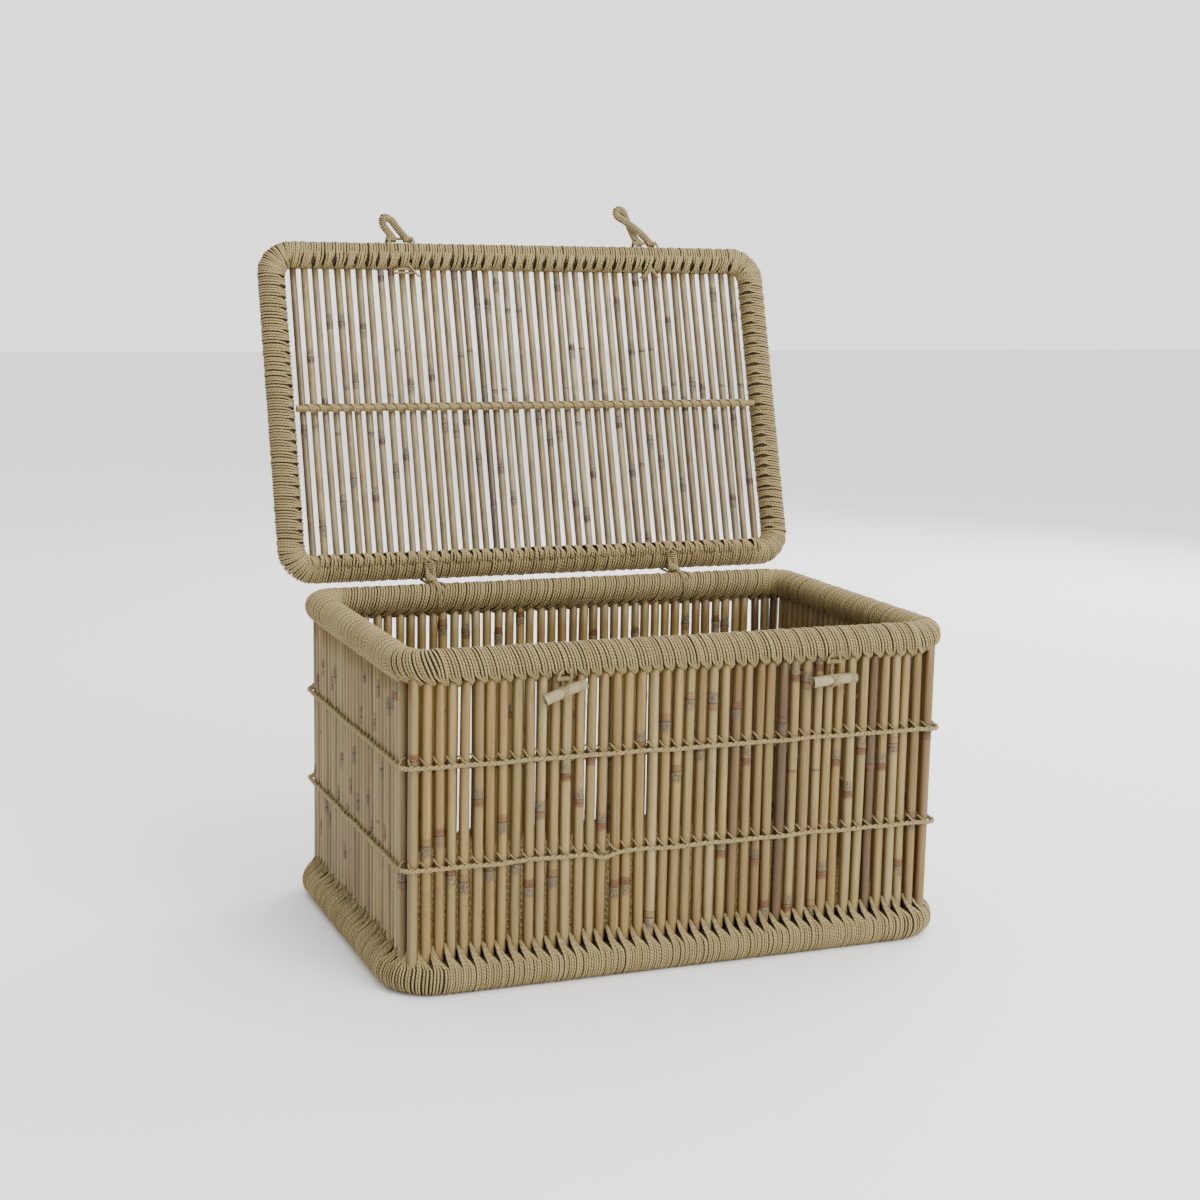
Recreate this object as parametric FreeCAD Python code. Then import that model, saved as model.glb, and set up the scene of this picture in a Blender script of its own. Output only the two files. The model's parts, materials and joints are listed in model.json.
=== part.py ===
import FreeCAD, Part
import math
import os

# Lidded cane storage trunk, in millimetres.
# Origin: centre of the footprint, on the plane that the trunk rests on.
# +Z up, +X to the right, -Y to the front. The lid is written closed and then swung open.

# Driving dimensions
cane_pitch = 14.0
cane_radius = 5.8
front_cane_count = 44
side_cane_count = 27
depth = 392.0            # between the centre planes of the front and back canes
side_offset = 6.0        # side canes stand this far outside the end canes of the front
visible_bottom = 37.0
visible_top = 333.8
open_angle = 106.3       # from closed to fully open

rim_radius = 17.5
rim_bore = 13.3
rim_corner = 28.0
base_radius = 19.0
base_bore = 14.5
base_corner = 45.0
base_bulge = 6.0         # the base roll stands this far outside the canes
base_flat = 0.8          # the twine is pressed flat by this much underneath
hoop_radius = 6.5
hoop_inset = 4.0         # the base hoop lies this far inside the middle of its roll

weft_radius = 2.5
weft_heights = {"upper": 244.6, "lower": 136.0}
weft_corners = (12.0, 4.0)

floor_cane_radius = 5.5
floor_cane_pitch = 40.0
floor_cane_count = 15
floor_mat_thickness = 4.5
floor_cane_rise = 6.0    # floor canes lie this far above the middle of the base roll

lid_reach = 390.0        # hinge rail centre to front rail centre
lid_half_width = 323.0   # to the centre of each side rail
lid_radius = 17.0
lid_bore = 13.0
lid_corner = 26.0
lid_cane_radius = 4.5
lid_cane_pitch = 13.72
lid_gap = 2.4            # daylight between the closed lid and the rim
crossbar_radius = 4.0
crossbar_wrap_radius = 6.5
crossbar_reach = 196.0   # from the hinge rail

hinge_offset = 21.2      # hinge axis behind the back rim's centre line
hinge_places = {"left": -157.0, "right": 166.0}
hinge_pin_radius = 2.5
hinge_pin_length = 13.0
hinge_eye_radius = 5.5
rim_strap_width = 4.4
lid_strap_width = 3.0
lid_strap_shift = 4.0    # the lid's two straps stand this far from the middle of the pin
neck_thickness = 4.0
tie_thickness = 1.8
running_clearance = 0.1
seat = 0.3               # one wrapped part stands this far off the next

loop_strand = 4.9
loop_tip = 5.4           # half the spacing of the two legs at the tip
loop_foot = 5.2          # each leg ends in a ball that turns on the pin
loop_standoff = 5.6      # hinge of the loop, outside the rail
loop_pin_radius = 2.2
loop_pin_reach = 3.4     # the pin stands this far out of each foot
loop_ear = 1.4
loops = {
    "left": {
        "x": -157.0, "length": 38.0, "lean": 35.0, "root": 9.0, "waist": 6.6, "twist": 35.0, "turn": 0.0,
    },
    "right": {
        "x": 175.0, "length": 61.0, "lean": 38.0, "root": 8.0, "waist": 5.2, "twist": 0.0, "turn": 180.0,
    },
}
knot_inset = 19.2        # from the front rail's centre to the knot of each loop
knot_radius = 4.0
knot_reach = (-12.0, 14.0)

tether_drop_pin = (-206.0, 329.5)
tether_width = 5.0
tether_sleeve = (3.0, 11.4)
tether_peg_radius = 1.6
tether_pin_length = 17.0
anchor_ear = (2.5, 2.8, 12.0)
toggle_y = -210.2
toggle_radius = 5.8
toggles = {"left": (-140.5, 316.2, 48.0, 18.5), "right": (174.6, 309.4, 53.0, 3.0)}

# Worked out from the driving dimensions
half_front = (front_cane_count - 1) / 2 * cane_pitch
half_side = half_front + side_offset
half_depth = depth / 2
rim_height = visible_top + math.sqrt(rim_radius ** 2 - cane_radius ** 2) - 1.0
base_height = base_radius - base_flat
hinge_y = half_depth + hinge_offset
lid_height = rim_height + rim_radius + lid_gap + lid_radius
hinge_z = (rim_height + lid_height) / 2 - 1.0
lid_back = half_depth
lid_front = lid_back - lid_reach
floor_cane_height = base_height + floor_cane_rise
floor_top = floor_cane_height + floor_cane_radius + floor_mat_thickness

far = 400.0              # beyond the object in any direction

x_dir = FreeCAD.Vector(1, 0, 0)
y_dir = FreeCAD.Vector(0, 1, 0)
z_dir = FreeCAD.Vector(0, 0, 1)
os.makedirs("parts", exist_ok=True)


def point(x, y, z):
    return FreeCAD.Vector(x, y, z)


def save(name, shape):
    shape.exportStep("parts/" + name + ".step")
    print(name, len(shape.Solids), "solid", round(shape.Volume), "mm3", shape.isValid())


def rod(start, end, radius):
    along = end - start
    return Part.makeCylinder(radius, along.Length, start, along)


def fused(shapes):
    whole = shapes[0]
    for shape in shapes[1:]:
        whole = whole.fuse(shape)
    return whole.removeSplitter()


def cut_each(shape, tools):
    return shape.cut(Part.makeCompound(tools))


def box_between(low, high):
    size = high - low
    return Part.makeBox(size.x, size.y, size.z, low)


def rounded_wire(half_x, low_y, high_y, corner, height):
    """A closed rounded rectangle at one height."""
    c = math.cos(math.pi / 4) * corner
    edges = []
    corners = [
        (half_x - corner, high_y - corner, 1, 1),
        (-half_x + corner, high_y - corner, -1, 1),
        (-half_x + corner, low_y + corner, -1, -1),
        (half_x - corner, low_y + corner, 1, -1),
    ]
    ends = []
    for i, (cx, cy, sx, sy) in enumerate(corners):
        side = point(cx + sx * corner, cy, height)
        face = point(cx, cy + sy * corner, height)
        middle = point(cx + sx * c, cy + sy * c, height)
        first, last = (side, face) if i % 2 == 0 else (face, side)
        ends.append((first, middle, last))
    for i, (first, middle, last) in enumerate(ends):
        edges.append(Part.Arc(first, middle, last).toShape())
        edges.append(Part.LineSegment(last, ends[(i + 1) % 4][0]).toShape())
    return Part.Wire(edges)


def ring(half_x, low_y, high_y, corner, height, radius):
    """A round bar bent into a closed rounded rectangle."""
    path = rounded_wire(half_x, low_y, high_y, corner, height)
    start = path.Vertexes[0].Point
    section = Part.Wire([Part.makeCircle(radius, start, y_dir)])
    return path.makePipeShell([section], True, True)


def vertical_canes(places, bottom, top):
    return [Part.makeCylinder(cane_radius, top - bottom, point(x, y, bottom)) for x, y in places]


def open_lid(shape):
    turned = shape.copy()
    turned.rotate(point(0, hinge_y, hinge_z), x_dir, -open_angle)
    return turned


# Canes of the four walls
front_xs = [-half_front + i * cane_pitch for i in range(front_cane_count)]
side_step = depth / (side_cane_count + 1)
side_ys = [-half_depth + (i + 1) * side_step for i in range(side_cane_count)]
wall_places = {
    "front": [(x, -half_depth) for x in front_xs],
    "back": [(x, half_depth) for x in front_xs],
    "left": [(-half_side, y) for y in side_ys],
    "right": [(half_side, y) for y in side_ys],
}
wall_canes = []
for wall, places in wall_places.items():
    canes = vertical_canes(places, base_height, rim_height)
    wall_canes += canes
    save(wall + "_canes", Part.makeCompound(canes))

# Floor: canes from front to back, carrying a woven mat
floor_xs = [(i - (floor_cane_count - 1) / 2) * floor_cane_pitch for i in range(floor_cane_count)]
floor_half = half_depth - cane_radius - seat
floor_canes = []
for x in floor_xs:
    start = point(x, -floor_half, floor_cane_height)
    floor_canes.append(Part.makeCylinder(floor_cane_radius, 2 * floor_half, start, y_dir))
save("floor_canes", Part.makeCompound(floor_canes))
mat_bottom = floor_top - floor_mat_thickness
mat_reach = math.sqrt(base_radius ** 2 - (mat_bottom - base_height) ** 2)
mat_x = half_side + base_bulge - mat_reach - seat
mat_y = half_depth + base_bulge - mat_reach - seat
mat_corner = base_corner - mat_reach - seat
mat_outline = Part.Face(rounded_wire(mat_x, -mat_y, mat_y, mat_corner, mat_bottom))
save("floor_mat", mat_outline.extrude(z_dir * floor_mat_thickness))

# Base roll: a hoop under the cane ends, bound with twine, pressed flat underneath
bulged_x = half_side + base_bulge
bulged_y = half_depth + base_bulge
hoop_x = bulged_x - hoop_inset
hoop_y = bulged_y - hoop_inset
hoop_corner = base_corner - hoop_inset
save("base_hoop", ring(hoop_x, -hoop_y, hoop_y, hoop_corner, base_height - hoop_radius, hoop_radius))
base_wrap = ring(bulged_x, -bulged_y, bulged_y, base_corner, base_height, base_radius)
base_wrap = base_wrap.cut(ring(bulged_x, -bulged_y, bulged_y, base_corner, base_height, base_bore))
ground = box_between(point(-far, -far, -base_radius), point(far, far, 0))
base_wrap = base_wrap.cut(ground)
base_wrap = cut_each(base_wrap, wall_canes + floor_canes)
save("base_wrap", base_wrap)

# Rim roll: the same build, upside down
rim_hoop = ring(half_side, -half_depth, half_depth, rim_corner, rim_height + hoop_radius, hoop_radius)
save("rim_hoop", rim_hoop)
rim_wrap = ring(half_side, -half_depth, half_depth, rim_corner, rim_height, rim_radius)
rim_wrap = rim_wrap.cut(ring(half_side, -half_depth, half_depth, rim_corner, rim_height, rim_bore))
rim_wrap = cut_each(rim_wrap, wall_canes)
save("rim_wrap", rim_wrap)

# Weft cords: a pair of cords, outside and inside the canes, at two heights
out = cane_radius + weft_radius
for level, height in weft_heights.items():
    outer = ring(half_side + out, -half_depth - out, half_depth + out, weft_corners[0], height, weft_radius)
    inner = ring(half_side - out, -half_depth + out, half_depth - out, weft_corners[1], height, weft_radius)
    save("weft_" + level + "_outer", outer)
    save("weft_" + level + "_inner", inner)


# Lid, written closed
lid_loop = (lid_half_width, lid_front, lid_back, lid_corner, lid_height)
lid_end = hoop_radius - seat
lid_hoop = ring(
    lid_half_width + lid_end, lid_front - lid_end, lid_back + lid_end,
    lid_corner + lid_end, lid_height, hoop_radius
)
save("lid_hoop", open_lid(lid_hoop))
lid_xs = [(i - (front_cane_count - 1) / 2) * lid_cane_pitch for i in range(front_cane_count)]
lid_canes = []
for x in lid_xs:
    start = point(x, lid_front + 2 * seat, lid_height)
    lid_canes.append(Part.makeCylinder(lid_cane_radius, lid_reach - 4 * seat, start, y_dir))
save("lid_canes", open_lid(Part.makeCompound(lid_canes)))
lid_wrap = ring(*lid_loop, lid_radius).cut(ring(*lid_loop, lid_bore))
lid_wrap = cut_each(lid_wrap, lid_canes)

# Crossbar under the lid's canes
bar_y = lid_back - crossbar_reach
bar_z = lid_height - lid_cane_radius - crossbar_wrap_radius
bar_half = lid_half_width - math.sqrt(lid_radius ** 2 - lid_cane_radius ** 2) - seat
crossbar = rod(point(-bar_half, bar_y, bar_z), point(bar_half, bar_y, bar_z), crossbar_radius)
save("lid_crossbar", open_lid(crossbar))
crossbar_wrap = rod(point(-bar_half, bar_y, bar_z), point(bar_half, bar_y, bar_z), crossbar_wrap_radius)
save("lid_crossbar_wrap", open_lid(crossbar_wrap.cut(crossbar)))
save("lid_wrap", open_lid(lid_wrap))


def band(x, width, centre_y, centre_z, inner, keep):
    """A strap of cord round a roll, kept only inside the box that is given."""
    start = point(x - width / 2, centre_y, centre_z)
    outside = Part.makeCylinder(inner + tie_thickness, width, start, x_dir)
    inside = Part.makeCylinder(inner, width, start, x_dir)
    return outside.cut(inside).common(keep)


def eye(x, width, bore, target_y, target_z, standoff):
    """A loop of cord round the hinge pin, with a neck towards the roll's centre."""
    start = point(x - width / 2, hinge_y, hinge_z)
    loop = Part.makeCylinder(hinge_eye_radius, width, start, x_dir)
    reach = math.hypot(target_y - hinge_y, target_z - hinge_z) - standoff
    neck = Part.makeBox(width, reach, neck_thickness, start - z_dir * (neck_thickness / 2))
    turn = math.degrees(math.atan2(target_z - hinge_z, target_y - hinge_y))
    neck.rotate(point(x, hinge_y, hinge_z), x_dir, turn)
    return loop.fuse(neck), Part.makeCylinder(bore, width, start, x_dir)


# Hinges: a pin of hard cord, held by a strap on the rim and turned on by two straps of the lid
strap_start = hoop_radius + lid_gap      # a strap covers the roll from this far below its centre
for side, x in hinge_places.items():
    pin_start = point(x - hinge_pin_length / 2, hinge_y, hinge_z)
    save("hinge_pin_" + side, Part.makeCylinder(hinge_pin_radius, hinge_pin_length, pin_start, x_dir))
    above = box_between(point(-far, 0, rim_height - strap_start), point(far, far, far))
    strap = band(x, rim_strap_width, half_depth, rim_height, rim_radius, above)
    knuckle, bore = eye(x, rim_strap_width, hinge_pin_radius, half_depth, rim_height, rim_radius + seat)
    save("hinge_rim_tie_" + side, fused([strap, knuckle]).cut(bore))
    straps = []
    bore_radius = hinge_pin_radius + running_clearance
    for shift in (-lid_strap_shift, lid_strap_shift):
        behind = box_between(point(-far, lid_back - strap_start, 0), point(far, far, 2 * far))
        strap = band(x + shift, lid_strap_width, lid_back, lid_height, lid_radius, behind)
        knuckle, bore = eye(x + shift, lid_strap_width, bore_radius, lid_back, lid_height, lid_radius + seat)
        straps.append(fused([strap, knuckle]).cut(bore))
    save("hinge_lid_tie_" + side, open_lid(Part.makeCompound(straps)))


def leg_station(loop, pivot, share, sign):
    """One point of a leg's centre line, from the foot at 0 to the shoulder at 1."""
    tilt = math.radians(loop["lean"])
    along = point(-math.sin(tilt), -math.cos(tilt), 0)
    aside = point(math.cos(tilt), -math.sin(tilt), 0)
    flat = x_dir * (1 - share) + aside * share
    angle = math.radians(loop["turn"] * share + loop["twist"] * math.sin(math.pi * share))
    across = flat * math.cos(angle) - z_dir * math.sin(angle)
    ends = loop["root"] * (1 - share) + loop_tip * share
    half = ends + (loop["waist"] - ends) * math.sin(math.pi * share)
    run = (loop["length"] - loop_strand - loop_tip) * share
    return pivot + along * run + across * (sign * half)


# Closure loops on the lid's front rail: two legs that turn on a pin, joined by a round tip
pivot_y = lid_front - lid_radius - loop_standoff
rail = rod(point(-far, lid_front, lid_height), point(far, lid_front, lid_height), lid_radius)
shares = (0.0, 0.2, 0.4, 0.6, 0.8, 1.0)
for side, loop in loops.items():
    x = loop["x"]
    pivot = point(x, pivot_y, lid_height)
    reach = loop["root"] + loop_foot + loop_pin_reach
    anchor = [Part.makeCylinder(loop_pin_radius, 2 * reach, pivot - x_dir * reach, x_dir)]
    for left in (x - reach, x + reach - loop_ear):
        low = point(left, pivot_y - loop_pin_radius, lid_height - loop_pin_radius)
        high = point(left + loop_ear, lid_front, lid_height + loop_pin_radius)
        anchor.append(box_between(low, high).cut(rail))
    save("loop_anchor_" + side, open_lid(fused(anchor)))

    legs = [[leg_station(loop, pivot, share, sign) for share in shares] for sign in (-1, 1)]
    centre = (legs[0][-1] + legs[1][-1]) * 0.5
    tilt = math.radians(loop["lean"])
    tip = centre + point(-math.sin(tilt), -math.cos(tilt), 0) * loop_tip
    line = Part.BSplineCurve()
    line.interpolate(legs[0] + [tip] + legs[1][::-1])
    path = Part.Wire([line.toShape()])
    section = Part.Wire([Part.makeCircle(loop_strand, legs[0][0], line.tangent(line.FirstParameter)[0])])
    cord = path.makePipeShell([section], True, True)
    feet = [Part.makeSphere(loop_foot, leg[0]) for leg in legs]
    bore = Part.makeCylinder(loop_pin_radius + running_clearance, 2 * reach, pivot - x_dir * reach, x_dir)
    save("loop_" + side, open_lid(fused([cord] + feet).cut(bore)))

    knot_y = lid_front + knot_inset
    knot_z = lid_height - lid_cane_radius - knot_radius - running_clearance
    ends = [point(x + shift, knot_y, knot_z) for shift in knot_reach]
    knot = [rod(ends[0], ends[1], knot_radius)] + [Part.makeSphere(knot_radius, end) for end in ends]
    save("loop_knot_" + side, open_lid(fused(knot)))

# Toggles under the front rim, each on a short tether that swings from the rim
pin_y, pin_z = tether_drop_pin
front_rim = rod(point(-far, -half_depth, rim_height), point(far, -half_depth, rim_height), rim_radius)
ear_width, ear_radius, ear_height = anchor_ear
sleeve_radius, sleeve_length = tether_sleeve
for side, (x, height, length, tilt) in toggles.items():
    half_pin = tether_pin_length / 2
    pin_start = point(x - half_pin, pin_y, pin_z)
    anchor = [Part.makeCylinder(tether_peg_radius, tether_pin_length, pin_start, x_dir)]
    for left in (x - half_pin, x + half_pin - ear_width):
        anchor.append(Part.makeCylinder(ear_radius, ear_width, point(left, pin_y, pin_z), x_dir))
        low = point(left, pin_y - ear_radius, pin_z)
        high = point(left + ear_width, pin_y + ear_radius, pin_z + ear_height)
        anchor.append(box_between(low, high).cut(front_rim))
    save("toggle_anchor_" + side, fused(anchor))

    sleeve_start = point(x - sleeve_length / 2, pin_y, pin_z)
    sleeve = Part.makeCylinder(sleeve_radius, sleeve_length, sleeve_start, x_dir)
    strap_front = toggle_y + toggle_radius + running_clearance
    low = point(x - tether_width / 2, strap_front, height - tether_width / 2)
    high = point(x + tether_width / 2, pin_y + sleeve_radius, pin_z)
    strap = box_between(low, high)
    peg = rod(point(x, pin_y + sleeve_radius, height), point(x, toggle_y + 1.0, height), tether_peg_radius)
    bore_radius = tether_peg_radius + running_clearance
    bore = Part.makeCylinder(bore_radius, sleeve_length, sleeve_start, x_dir)
    save("toggle_tether_" + side, fused([sleeve, strap, peg]).cut(bore))

    toggle = Part.makeCylinder(toggle_radius, length, point(x - length / 2, toggle_y, height), x_dir)
    hole = rod(point(x, 0, height), point(x, toggle_y - 0.5, height), bore_radius)
    toggle.rotate(point(x, toggle_y, height), y_dir, -tilt)
    save("toggle_" + side, toggle.cut(hole))

print("rim height", round(rim_height, 2), "lid height", round(lid_height, 2))
print("hinge", hinge_y, round(hinge_z, 2))
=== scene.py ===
import json
import math
import random
import bmesh
import bpy
import numpy as np
from mathutils import Matrix, Vector


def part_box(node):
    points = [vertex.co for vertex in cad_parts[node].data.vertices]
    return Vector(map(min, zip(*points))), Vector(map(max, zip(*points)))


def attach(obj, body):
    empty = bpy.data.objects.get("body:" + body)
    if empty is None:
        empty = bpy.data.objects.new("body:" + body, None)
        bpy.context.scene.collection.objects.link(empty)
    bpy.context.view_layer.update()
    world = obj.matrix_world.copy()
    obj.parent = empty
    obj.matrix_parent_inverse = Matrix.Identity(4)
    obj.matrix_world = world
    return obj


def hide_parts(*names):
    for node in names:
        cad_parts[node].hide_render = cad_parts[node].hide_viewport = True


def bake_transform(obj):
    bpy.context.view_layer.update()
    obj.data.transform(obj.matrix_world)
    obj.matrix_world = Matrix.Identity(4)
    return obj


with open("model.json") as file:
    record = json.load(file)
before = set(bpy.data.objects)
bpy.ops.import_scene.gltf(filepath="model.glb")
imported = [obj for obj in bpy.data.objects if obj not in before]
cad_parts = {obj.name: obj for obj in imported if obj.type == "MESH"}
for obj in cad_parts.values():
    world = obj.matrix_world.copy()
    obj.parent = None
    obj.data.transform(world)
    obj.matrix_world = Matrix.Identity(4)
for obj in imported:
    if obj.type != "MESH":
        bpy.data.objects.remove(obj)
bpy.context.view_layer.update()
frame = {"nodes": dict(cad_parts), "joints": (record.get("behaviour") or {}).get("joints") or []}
print("stage: frame loaded")

random.seed(7)
noise = np.random.default_rng(7)
hinge = next(j for j in frame["joints"] if j["name"] == "lid_hinge")
hingePlace = Vector(hinge["pos_m"])


# ---- camera, lights and floor
camera = {
    "place": (-0.8845, -2.1733, 0.7768), "yaw": 21.763, "pitch": 9.807, "roll": 1.047, "lens": 61.88,
    "sensor": 36, "shift": -0.0023,
}


def setCamera():
    yaw, pitch, roll = (math.radians(camera[k]) for k in ("yaw", "pitch", "roll"))
    forward = Vector((math.sin(yaw) * math.cos(pitch), math.cos(yaw) * math.cos(pitch), -math.sin(pitch)))
    level = Vector((math.cos(yaw), -math.sin(yaw), 0))
    up = level.cross(forward)
    right = level * math.cos(roll) + up * math.sin(roll)
    up = up * math.cos(roll) - level * math.sin(roll)
    data = bpy.data.cameras.new("camera")
    data.lens = camera["lens"]
    data.sensor_width = camera["sensor"]
    data.shift_x = camera["shift"]
    cam = bpy.data.objects.new("camera", data)
    turn = Matrix((right, up, -forward)).transposed().to_4x4()
    cam.matrix_world = Matrix.Translation(camera["place"]) @ turn
    bpy.context.scene.collection.objects.link(cam)
    bpy.context.scene.camera = cam


lights = [
    {"name": "key", "place": (0.9, -2.6, 2.5), "size": 1.6, "power": 90, "color": (1, 0.985, 0.96)},
    {"name": "fill", "place": (-2.8, -1.4, 1.4), "size": 2.0, "power": 3, "color": (1, 1, 1)},
    {"name": "top", "place": (0.2, 0.2, 2.9), "size": 2.0, "power": 30, "color": (1, 1, 1)},
    {"name": "rear", "place": (2.4, 1.9, 1.7), "size": 2.0, "power": 85, "color": (1, 1, 1)},
]


room = {"strength": 1.95, "From Min": -0.85, "From Max": -0.15, "To Min": 0.22}


def setLights():
    for spec in lights:
        data = bpy.data.lights.new(spec["name"], "AREA")
        data.energy = spec["power"]
        data.color = spec["color"]
        data.size = spec["size"]
        lamp = bpy.data.objects.new(spec["name"], data)
        lamp.location = spec["place"]
        aim = Vector((0, 0, 0.35)) - Vector(spec["place"])
        lamp.rotation_euler = aim.to_track_quat("-Z", "Y").to_euler()
        bpy.context.scene.collection.objects.link(lamp)
    # the room is white, and dimmer on the left
    world = bpy.data.worlds.new("studio")
    world.use_nodes = True
    tree = world.node_tree
    sky = tree.nodes["Background"]
    sky.inputs["Strength"].default_value = room["strength"]
    around = tree.nodes.new("ShaderNodeTexCoord")
    split = tree.nodes.new("ShaderNodeSeparateXYZ")
    ramp = tree.nodes.new("ShaderNodeMapRange")
    for name in ("From Min", "From Max", "To Min"):
        ramp.inputs[name].default_value = room[name]
    tree.links.new(around.outputs["Generated"], split.inputs[0])
    tree.links.new(split.outputs[0], ramp.inputs["Value"])
    tree.links.new(ramp.outputs[0], sky.inputs["Color"])
    bpy.context.scene.world = world


# ---- shader tools
class Value:
    def __init__(self, shader, link):
        self.shader = shader
        self.link = link

    def __add__(self, other):
        return self.shader.maths("ADD", self, other)

    def __sub__(self, other):
        return self.shader.maths("SUBTRACT", self, other)

    def __rsub__(self, other):
        return self.shader.maths("SUBTRACT", other, self)

    def __mul__(self, other):
        return self.shader.maths("MULTIPLY", self, other)

    def __gt__(self, other):
        return self.shader.maths("GREATER_THAN", self, other)

    __radd__ = __add__
    __rmul__ = __mul__


class Shader:
    def __init__(self, name, roughness=0.6):
        self.material = bpy.data.materials.new(name)
        self.material.use_nodes = True
        self.tree = self.material.node_tree
        self.surface = self.tree.nodes["Principled BSDF"]
        self.surface.inputs["Roughness"].default_value = roughness

    def add(self, kind, settings=None, values=None, output=0):
        node = self.tree.nodes.new(kind)
        for key, setting in (settings or {}).items():
            if key == "stops":
                ramp = node.color_ramp.elements
                while len(ramp) < len(setting):
                    ramp.new(0.5)
                for element, (position, color) in zip(ramp, setting):
                    element.position = position
                    element.color = (*color, 1)
            else:
                setattr(node, key, setting)
        for key, value in (values or {}).items():
            if isinstance(value, Value):
                self.tree.links.new(value.link, node.inputs[key])
            else:
                node.inputs[key].default_value = value
        return Value(self, node.outputs[output])

    def maths(self, operation, first, second=0.0, clamp=False):
        settings = {"operation": operation, "use_clamp": clamp}
        return self.add("ShaderNodeMath", settings, {0: first, 1: second})

    def clamp(self, value):
        return self.maths("ADD", value, 0.0, clamp=True)

    def mix(self, factor, first, second, blend="MIX"):
        first = first if isinstance(first, Value) else (*first, 1)
        second = second if isinstance(second, Value) else (*second, 1)
        settings = {"data_type": "RGBA", "blend_type": blend}
        return self.add("ShaderNodeMix", settings, {0: factor, 6: first, 7: second}, 2)

    def grain(self, vector, scale, detail=3.0, rough=0.55):
        values = {"Vector": vector, "Scale": scale, "Detail": detail, "Roughness": rough}
        return self.add("ShaderNodeTexNoise", {}, values)

    def place(self, turn=(0, 0, 0), stretch=(1, 1, 1)):
        source = self.add("ShaderNodeTexCoord", {}, {}, "Object")
        return self.add("ShaderNodeMapping", {}, {"Vector": source, "Rotation": turn, "Scale": stretch})

    def mark(self, name):
        return self.add("ShaderNodeAttribute", {"attribute_name": name}, {}, "Fac")

    def feed(self, socket, value):
        self.tree.links.new(value.link, self.surface.inputs[socket])

    def bump(self, height, strength, distance):
        return self.add("ShaderNodeBump", {}, {"Height": height, "Strength": strength, "Distance": distance})


def caneShader(name, turn, palette, gloss, rust=None):
    # rust is the colour of the band beside each node; a plain stem has none
    s = Shader(name)
    place = s.place(turn)
    along = s.place(turn, (1, 1, 0.03))
    tone = s.mark("tone") if rust else s.grain(place, 6.0, 1.0)
    base = s.add("ShaderNodeValToRGB", {"stops": palette}, {"Fac": tone}, "Color")
    streak = s.grain(along, 420.0, 4.0)
    wide = s.grain(along, 110.0, 2.0)
    patch = s.grain(place, 24.0, 3.0)
    dark = s.mix(1.0, base, (0.60, 0.52, 0.42), "MULTIPLY")
    pale = s.mix(1.0, base, (1.30, 1.28, 1.24), "MULTIPLY")
    color = s.mix(s.clamp((wide - 0.32) * 2.8), dark, base)
    color = s.mix(s.clamp((streak - 0.5) * 2.6), color, pale)
    ochre = s.mix(1.0, base, (0.78, 0.64, 0.46), "MULTIPLY")
    color = s.mix(s.clamp((patch - 0.56) * 3.5) * 0.6, color, ochre)
    # weather specks and grey mildew, in patches
    speck = s.grain(s.place(turn, (1, 1, 0.35)), 900.0, 2.0)
    stained = s.clamp((s.grain(place, 15.0, 2.0) - 0.57) * 8)
    color = s.mix(s.clamp((speck - 0.55) * 9) * stained * 0.8, color, (0.04, 0.03, 0.02))
    rough = gloss + (streak - 0.5) * 0.22
    bumps = streak * 0.5 + speck * 0.2
    if rust:
        # node: rusty band on one side of a dark ring, grey speckled bloom on the other
        # painted shade: each cane's flanks towards its neighbours are darkened, for the shade between canes;
        # on the lid only the left flank is darkened, where the light leaves it darker
        flankShade = s.clamp((s.mark("edge") - 0.45) * 1.9)
        color = s.mix(flankShade * 0.72, color, s.mix(1.0, color, (0.34, 0.27, 0.19), "MULTIPLY"))
        node = s.mark("nodeAt")
        kind = s.mark("nodeKind")
        ragged = (s.grain(place, 230.0, 3.0) - 0.5) * 0.006
        height = node * ((kind > 0.5) * 2 - 1) + ragged
        ring = s.clamp(1.25 - s.maths("ABSOLUTE", node + ragged * 0.15) * 850)
        second = s.clamp(1.2 - s.maths("ABSOLUTE", height - 0.0072) * 1000) * 0.8
        band = s.clamp(2.2 - s.maths("ABSOLUTE", height - 0.0036) * 620)
        strong = s.clamp(s.maths("FRACT", kind * 9.7) * 1.2 + 0.35)
        bloom = s.clamp(1.9 - s.maths("ABSOLUTE", height + 0.0062) * 250)
        fuzz = s.clamp((s.grain(place, 620.0, 3.0) - 0.42) * 8)
        color = s.mix(band * strong, color, s.mix(fuzz, rust, tuple(c * 0.5 for c in rust)))
        color = s.mix(bloom * fuzz * s.clamp(1.35 - strong * 0.5) * 0.95, color, (0.05, 0.038, 0.026))
        color = s.mix(bloom * s.clamp(1 - fuzz) * 0.3, color, (0.20, 0.165, 0.11))
        color = s.mix(s.clamp(ring + second) * 0.85, color, (0.03, 0.014, 0.006))
        rough = rough + bloom * 0.2
        bumps = bumps - ring * 0.9 + fuzz * bloom * 0.5
    s.feed("Base Color", color)
    s.feed("Roughness", rough)
    s.feed("Normal", s.bump(bumps, 0.35, 0.0006))
    s.surface.inputs["Specular IOR Level"].default_value = 0.45
    return s.material


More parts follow.
